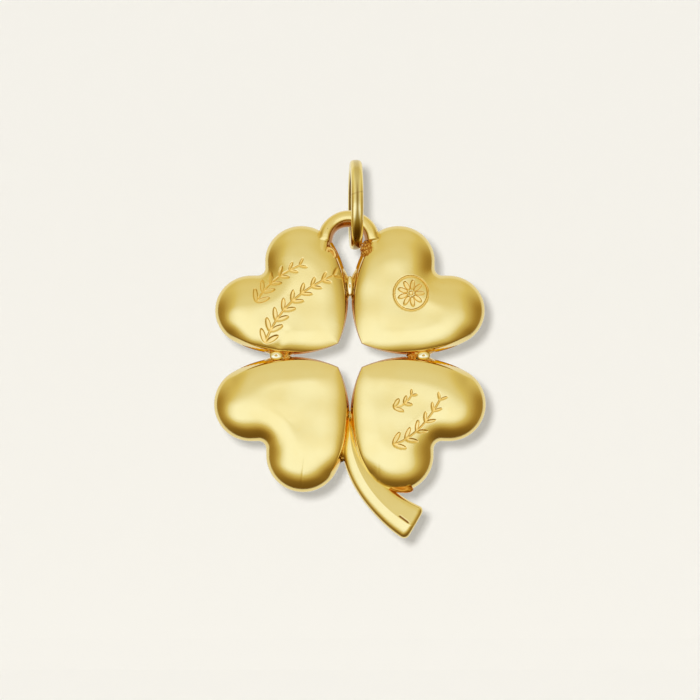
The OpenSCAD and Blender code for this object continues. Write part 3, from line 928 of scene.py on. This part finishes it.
def blend_colour(tree, share, a, b):
    node = add(tree, "ShaderNodeMix", settings={"data_type": "RGBA"})
    for socket, value in ((node.inputs["Factor"], share), (node.inputs["A"], a), (node.inputs["B"], b)):
        if isinstance(value, (tuple, float)):
            socket.default_value = value if isinstance(value, float) else (*value, 1)
        else:
            tree.links.new(value, socket)
    return node.outputs["Result"]


# %% [markdown]
# ## Polishing marks
# A polishing wheel leaves a fine grain and long scratches in two directions. Two stretched noises,
# multiplied, give scratches that come and go. The same marks also change the roughness a little.

# %% The polishing marks
polish, given, out = new_group("polish", (
    ("Grain", "Float", 6.0), ("Scratches", "Float", 0.3), ("Roughness", "Float", 0.14),
    ("Change of roughness", "Float", 0.05)), (("Height", "Float"), ("Roughness", "Float")))
grain = calc(polish, "SUBTRACT", noise(polish, in_mm(polish), 6.0, 3.0, 0.6), 0.5)
wheel = noise(polish, in_mm(polish, (0.5, 1, 14), (0, 0.6, 0)), 1.6, 3.0, 0.6)
cross = noise(polish, in_mm(polish, (11, 1, 0.5), (0, 0.4, 0)), 1.4, 3.0, 0.6)
scratch = calc(polish, "SUBTRACT", calc(polish, "MULTIPLY", wheel, cross), 0.25)
height = calc(polish, "ADD", calc(polish, "MULTIPLY", grain, given["Grain"]),
              calc(polish, "MULTIPLY", scratch, given["Scratches"]))
polish.links.new(height, out["Height"])
dull = ramp(polish, noise(polish, in_mm(polish), 0.7, 3.0), 0.35, 0.7, -0.5, 1.0)
change = calc(polish, "MULTIPLY", dull, given["Change of roughness"])
rough = calc(polish, "ADD", given["Roughness"], change)
rough = calc(polish, "ADD", rough, calc(polish, "MULTIPLY", scratch, 0.05))
polish.links.new(rough, out["Roughness"])

# %% [markdown]
# ## Tone
# Gold plate is never one colour: it is warmer in slow clouds, stained in spots and specked with dirt.
# Each is a noise that mixes in a warmer gold. Two more inputs paint light into the colour: Depth paints
# a deeper gold as painted shade and painted reflection, and Shadow line a dark line of painted shade, or a
# dark seam.

# %% The tone of the gold and its deeper colour in creases
tone, given, out = new_group("tone", (
    ("Gold", "Color", (0.93, 0.775, 0.345, 1)), ("Warm gold", "Color", (0.93, 0.7, 0.24, 1)),
    ("Deep gold", "Color", (0.93, 0.52, 0.08, 1)), ("Stain", "Float", 0.5), ("Depth", "Float", 0.0),
    ("Shadow line", "Float", 0.0)), (("Colour", "Color"),))
slow = ramp(tone, noise(tone, in_mm(tone), 0.35, 2.0), 0.35, 0.7)
colour = blend_colour(tone, calc(tone, "MULTIPLY", slow, 0.3), given["Gold"], given["Warm gold"])
spots = ramp(tone, noise(tone, in_mm(tone, (1, 1, 1.6)), 0.9, 5.0, 0.7), 0.6, 0.72)
colour = blend_colour(tone, calc(tone, "MULTIPLY", spots, given["Stain"]), colour, given["Warm gold"])
specks = ramp(tone, noise(tone, in_mm(tone), 5.0, 1.0), 0.76, 0.82)
colour = blend_colour(tone, calc(tone, "MULTIPLY", specks, given["Stain"]), colour, given["Deep gold"])
# Depth mixes in the deep gold as painted shade and painted reflection; Shadow line mixes in dark red-brown
# as painted shade, or as a dark seam
colour = blend_colour(tone, given["Depth"], colour, given["Deep gold"])
colour = blend_colour(tone, given["Shadow line"], colour, (0.3, 0.1, 0.015))
tone.links.new(colour, out["Colour"])


# %% [markdown]
# ## The golds
# Every gold is the same small recipe with its own values, so the recipe is a function and the golds are
# a table. A new gold is one more row.

# %% Mix the golds
PALE, WARM, DEEP = (0.93, 0.775, 0.345), (0.93, 0.71, 0.24), (0.95, 0.56, 0.09)
FINE, COARSE = 0.0035, 0.006
# Gold, warm gold, deep gold (for specks, and for painted shade and painted reflection), stain, grain,
# scratches, roughness, its change, and the bump in mm
GOLDS = {
    "heart": (PALE, WARM, DEEP, 0.45, 1.0, 0.6, 0.13, 0.04, FINE),
    # The wall's orange gold is painted reflection of the facing wall
    "wall": ((0.96, 0.64, 0.12), (0.97, 0.66, 0.15), (0.8, 0.4, 0.04), 1.0, 1.2, 1.4, 0.16, 0.06, FINE),
    "stem": (PALE, WARM, DEEP, 0.3, 1.2, 1.0, 0.15, 0.05, FINE),
    # The loop's dark red-brown deep gold is painted shade inside the strap
    "loop": ((0.93, 0.75, 0.3), WARM, (0.42, 0.15, 0.015), 0.6, 1.4, 0.8, 0.14, 0.06, FINE),
    # The ring's paler gold is a painted highlight on its sides; its deep gold colours the painted stripe
    # and shade
    "ring": ((1.0, 0.87, 0.44), (0.97, 0.76, 0.28), (0.32, 0.2, 0.03), 0.6, 1.0, 1.6, 0.15, 0.06, FINE),
    "solder": ((0.94, 0.74, 0.26), (0.94, 0.64, 0.16), (0.8, 0.34, 0.03), 1.0, 6.0, 1.0, 0.12, 0.1, COARSE),
    # The fillet's orange is partly the solder's own colour and partly painted reflection
    "fillet": ((0.86, 0.5, 0.08), (0.85, 0.44, 0.05), (0.6, 0.2, 0.01), 0.6, 2.0, 1.0, 0.15, 0.08, FINE),
    # The bead's pale gold is partly the solder's own colour and partly painted highlight
    "bead": ((0.97, 0.9, 0.62), WARM, DEEP, 0.2, 1.0, 0.4, 0.1, 0.03, FINE),
    "crust": ((0.75, 0.4, 0.08), (0.45, 0.17, 0.02), (0.3, 0.1, 0.01), 1.0, 8.0, 1.0, 0.16, 0.12, COARSE),
}


def gold(name, colour, warm, deep, stain, grain, scratches, roughness, change, bump):
    material = bpy.data.materials.new(f"{name}_gold")
    material.use_nodes = True
    tree = material.node_tree
    shader = tree.nodes["Principled BSDF"]
    shader.inputs["Metallic"].default_value = 1
    tones = add(tree, "ShaderNodeGroup", None, {"node_tree": tone}, **{
        "Gold": (*colour, 1), "Warm gold": (*warm, 1), "Deep gold": (*deep, 1), "Stain": stain})
    marks = add(tree, "ShaderNodeGroup", None, {"node_tree": polish}, **{
        "Grain": grain, "Scratches": scratches, "Roughness": roughness, "Change of roughness": change})
    relief = add(tree, "ShaderNodeBump", {"Height": marks.outputs["Height"]}, Strength=1.0,
                 Distance=bump * MM)
    tree.links.new(tones.outputs["Colour"], shader.inputs["Base Color"])
    tree.links.new(marks.outputs["Roughness"], shader.inputs["Roughness"])
    tree.links.new(relief.outputs["Normal"], shader.inputs["Normal"])
    return material, tones


golds = {name: gold(name, *row) for name, row in GOLDS.items()}

# %% [markdown]
# ## Letting the shape speak to the gold
# The values that were stored on the points now reach the golds. Each is read with an Attribute node,
# scaled, and fed to the tone group: Depth paints a deeper gold as painted shade and painted reflection,
# and Shadow line paints a dark line, as painted shade in a nick, on a wall's rim and in the gap under the
# loop, or as the ring's dark seam. A cut leaf gets its painted shade on its slopes, so its value is bent
# into a hump first.

# %% Feed the stored values to the golds
GAP_SHADE = 0.75
FEEDS = (
    ("heart", "between", "Shadow line", GAP_SHADE), ("stem", "recess", "Depth", 1.0),
    ("stem", "nick", "Shadow line", 1.0), ("loop", "recess", "Depth", 1.0),
    ("ring", "recess", "Depth", 1.0), ("ring", "seam", "Shadow line", 0.3),
    ("solder", "pits", "Depth", 0.8), ("bead", "pits", "Depth", 0.9), ("fillet", "pits", "Depth", 1.0))


def read(tree, name):
    return add(tree, "ShaderNodeAttribute", settings={"attribute_name": name}).outputs["Fac"]


def feed(tree, source, tones, effect):
    tree.links.new(source, tones.inputs[effect])


for finish, value, effect, share in FEEDS:
    material, tones = golds[finish]
    tree = material.node_tree
    feed(tree, calc(tree, "MULTIPLY", read(tree, value), share), tones, effect)

material, tones = golds["heart"]
tree = material.node_tree
cut = read(tree, "cut")
# The cut's slopes get painted shade
hump = calc(tree, "MULTIPLY", cut, calc(tree, "SUBTRACT", 1.15, cut))
feed(tree, calc(tree, "MULTIPLY", hump, 1.9), tones, "Depth")

# %% [markdown]
# ## The filed walls
# The walls that two hearts turn towards each other mirror one another, so light reaches the eye only
# after several bounces and the gold looks orange. Path tracing finds only part of that in such a narrow
# gap, so these faces get a gold of their own. They are picked by the value stored with the shape.

# %% Give the filed walls their own gold
material, tones = golds["wall"]
tree = material.node_tree
tree.nodes["Principled BSDF"].inputs["Specular Tint"].default_value = (0.85, 0.5, 0.12, 1)
# A dark line along the wall's rim and in the gap under the loop is painted shade
line = ramp(tree, read(tree, "from_rim"), 0.04, 0.12, 1.0, 0.0)
line = calc(tree, "MAXIMUM", line, calc(tree, "MULTIPLY", read(tree, "between"), GAP_SHADE))
feed(tree, line, tones, "Shadow line")
for piece in hearts:
    filed, between = np.zeros((2, len(piece.data.vertices)), np.float32)
    piece.data.attributes["filed_wall"].data.foreach_get("value", filed)
    piece.data.attributes["between"].data.foreach_get("value", between)
    filed = np.maximum(filed, between)
    on_wall = [filed[list(face.vertices)].mean() > 0.5 for face in piece.data.polygons]
    piece.data.materials.clear()
    for finish in ("heart", "wall"):
        piece.data.materials.append(golds[finish][0])
    piece.data.polygons.foreach_set("material_index", np.array(on_wall, np.int32))
    print(piece.name, sum(on_wall), "faces on its filed walls")

# %% [markdown]
# ## Which piece wears which gold
# Solder melts lower than gold because it holds other metals, so it is never quite the same colour. Each
# run of solder is named for what it is, and the first word of its name picks its gold. The bead's paler
# gold is also a painted highlight, and the fillet's orange also a painted reflection. The ring takes no
# part in reflections: its mirror image in the hearts would look like a second pair of feet.

# %% Put the golds on the other pieces
WEARS = [(stem, "stem"), (loop, "loop"), (ring_piece, "ring"), *((piece, "stem") for piece in webs)]
WEARS += [(piece, piece.name.split("_")[0]) for piece in solder]
for piece, finish in WEARS:
    piece.data.materials.clear()
    piece.data.materials.append(golds[finish][0])
ring_piece.visible_glossy = False

# %% [markdown]
# ## Backdrop
# The pendant is photographed straight on against pale paper. The sheet runs back along the floor and
# bends up into the wall, so that no edge shows behind the pendant. Its Alpha is 0 on its back face, as
# the Backfacing value tells, so a view from behind looks through it and still shows the pendant.

# %% Hang the paper
half_width, top_z, back_y, floor_z, bend_r = 400, 400, 70, -75, 30
profile = [(-half_width, floor_z)]
profile += [(back_y - bend_r + bend_r * math.sin(a), floor_z + bend_r - bend_r * math.cos(a))
            for a in np.radians(np.linspace(0, 90, 16))]
profile += [(back_y, top_z)]
paper_points = [(x, y, z) for y, z in profile for x in (-half_width, half_width)]
paper_faces = [[2 * k, 2 * k + 1, 2 * k + 3, 2 * k + 2] for k in range(len(profile) - 1)]
paper_mesh = bpy.data.meshes.new("paper")
paper_mesh.from_pydata((np.array(paper_points) * MM).tolist(), [], paper_faces)
paper = bpy.data.objects.new("paper", paper_mesh)
bpy.context.scene.collection.objects.link(paper)
paper.visible_glossy = False
paper_material = bpy.data.materials.new("paper")
paper_material.use_nodes = True
sheet = paper_material.node_tree
paper_shader = sheet.nodes["Principled BSDF"].inputs
paper_shader["Base Color"].default_value = (0.9, 0.89, 0.857, 1)
paper_shader["Roughness"].default_value = 0.9
from_behind = add(sheet, "ShaderNodeNewGeometry").outputs["Backfacing"]
sheet.links.new(calc(sheet, "SUBTRACT", 1.0, from_behind), paper_shader["Alpha"])
paper.data.materials.append(paper_material)

# %% [markdown]
# ## The room
# Polished metal shows the room, so the room is most of the light. A photographer would hang a tent of
# white cloth round the pendant and leave an opening for the camera. Here the world shader paints that
# room. The direction halfway between a reflected ray and the camera is the way that the metal faces, so
# the room is painted by how the metal is tilted: a softbox lights what faces the camera, the tent dims
# for what is turned aside, and the dark floor lies below. A colour ramp turns brightness into colour,
# because the dim parts of such a room are warmer than its lamps.

# %% Start the room from the way the metal faces
world = bpy.data.worlds.new("room")
bpy.context.scene.world = world
world.use_nodes = True
room = world.node_tree
room.nodes.clear()
towards = add(room, "ShaderNodeTexCoord").outputs["Generated"]
halfway = add(room, "ShaderNodeVectorMath", {0: towards}, {"operation": "ADD"})
halfway.inputs[1].default_value = (0, -1, 0)
facing = add(room, "ShaderNodeVectorMath", {0: halfway}, {"operation": "NORMALIZE"})
tilt = add(room, "ShaderNodeSeparateXYZ", {0: facing})
tilt_x, tilt_z = tilt.outputs["X"], tilt.outputs["Z"]
sum_of, times, over = (partial(calc, room, name) for name in ("ADD", "MULTIPLY", "DIVIDE"))


def length_of(a, b):
    squares = [calc(room, "POWER", side, 2.0) for side in (a, b)]
    return calc(room, "SQRT", sum_of(*squares))


def room_blend(share, a, b):
    return sum_of(times(a, calc(room, "SUBTRACT", 1.0, share)), times(b, share))


# %% Paint the softbox, the tent and the dark floor
SOFTBOX_X, SOFTBOX_Z = (-0.14, 0.53), (-0.14, 0.225)
TENT_X, TENT_Z, TENT_LOW, TENT_HIGH = (-0.03, 0.545), -0.17, 0.306, 0.868
tent = ramp(room, calc(room, "ABSOLUTE", tilt_x), 0.25, 0.5, 0.81, 0.77)
from_box = [over(calc(room, "SUBTRACT", tilt_to, at), by)
            for tilt_to, (at, by) in ((tilt_x, SOFTBOX_X), (tilt_z, SOFTBOX_Z))]
softbox = ramp(room, length_of(*from_box), 0.4, 1.14, 1.0, 0.0)
above_tent = calc(room, "SUBTRACT", tilt_z, TENT_Z)
up_down = sum_of(over(calc(room, "MINIMUM", above_tent, 0.0), TENT_LOW),
                 over(calc(room, "MAXIMUM", above_tent, 0.0), TENT_HIGH))
sideways = over(calc(room, "SUBTRACT", tilt_x, TENT_X[0]), TENT_X[1])
dark = times(ramp(room, length_of(up_down, sideways), 0.39, 1.36), ramp(room, tilt_z, 0.0, 0.56, 1.0, 0.16))
floor_level = ramp(room, tilt_z, -0.75, -0.3, 0.16, 0.34)
level = room_blend(dark, room_blend(softbox, tent, 1.07), floor_level)

# %% Turn brightness into colour
TINTS = ((0.12, (0.13, 0.07, 0.015)), (0.3, (0.3, 0.19, 0.045)), (0.44, (0.44, 0.31, 0.093)),
         (0.72, (0.72, 0.63, 0.32)), (0.83, (0.83, 0.82, 0.73)), (1.1, (1.1, 1.19, 1.45)))
RAMP_TOP = 2.0
tint = add(room, "ShaderNodeValToRGB", {"Fac": over(level, RAMP_TOP)})
while len(tint.color_ramp.elements) < len(TINTS):
    tint.color_ramp.elements.new(0.5)
for stop, (at, colour) in zip(tint.color_ramp.elements, TINTS):
    stop.position = at / RAMP_TOP
    stop.color = (*[c / RAMP_TOP for c in colour], 1)
lit = add(room, "ShaderNodeVectorMath", {0: tint}, {"operation": "SCALE"}, Scale=RAMP_TOP)

# %% Give the paper, the camera and the back of the room their own light
BEHIND, ON_PAPER, TO_CAMERA = (0.84, 0.8, 0.68), (0.465, 0.455, 0.438), (0.91, 0.88, 0.81)
rays = add(room, "ShaderNodeLightPath").outputs
split = add(room, "ShaderNodeSeparateXYZ", {0: towards})
light = blend_colour(room, ramp(room, split.outputs["Y"], 0.34, 0.5), lit.outputs[0], BEHIND)
light = blend_colour(room, rays["Is Diffuse Ray"], light, ON_PAPER)
light = blend_colour(room, rays["Is Camera Ray"], light, TO_CAMERA)
shine = add(room, "ShaderNodeBackground", {"Color": light})
add(room, "ShaderNodeOutputWorld", {"Surface": shine})

# %% [markdown]
# ## The small light
# The room is too even to throw a shadow. One small light up and to the left of the camera throws the
# soft one that falls to the right of the pendant. Its size sets how soft the shadow's edge is. It is
# hidden from reflections, because a mirror of gold would show it as a hard white dot.

# %% Add the small light that throws the shadow
MM_PER_PIXEL, PICTURE, far = 0.09, 700, 600
seat_px, seat_py = 355.7, 172.0
eye = np.array([(PICTURE / 2 - seat_px) * MM_PER_PIXEL, -far, (seat_py - PICTURE / 2) * MM_PER_PIXEL])
flash_data = bpy.data.lights.new("flash", "POINT")
flash_data.energy = 8.6
flash_data.shadow_soft_size = 4.1 * MM
flash = bpy.data.objects.new("flash", flash_data)
flash.location = Vector((eye + [-6.3, 0, 6.0]) * MM)
flash.visible_glossy = False
bpy.context.scene.collection.objects.link(flash)
bpy.context.scene.view_settings.view_transform = "Standard"

# %% [markdown]
# ## The camera
# A lens close by would show the near lobes too large. This one is long and stands 60 cm off, so one pixel
# is 0.09 mm all over the pendant. It looks straight back, from where the chain seat falls on its place in
# the picture.

# %% Aim the camera
camera_data = bpy.data.cameras.new("camera")
camera_data.lens = camera_data.sensor_width * far / (PICTURE * MM_PER_PIXEL)
camera = bpy.data.objects.new("camera", camera_data)
camera.location = Vector(eye * MM)
camera.rotation_euler = (math.pi / 2, 0, 0)
camera_data.clip_end = 5
bpy.context.scene.collection.objects.link(camera)
bpy.context.scene.camera = camera
print("lens", round(camera_data.lens, 1), "mm")
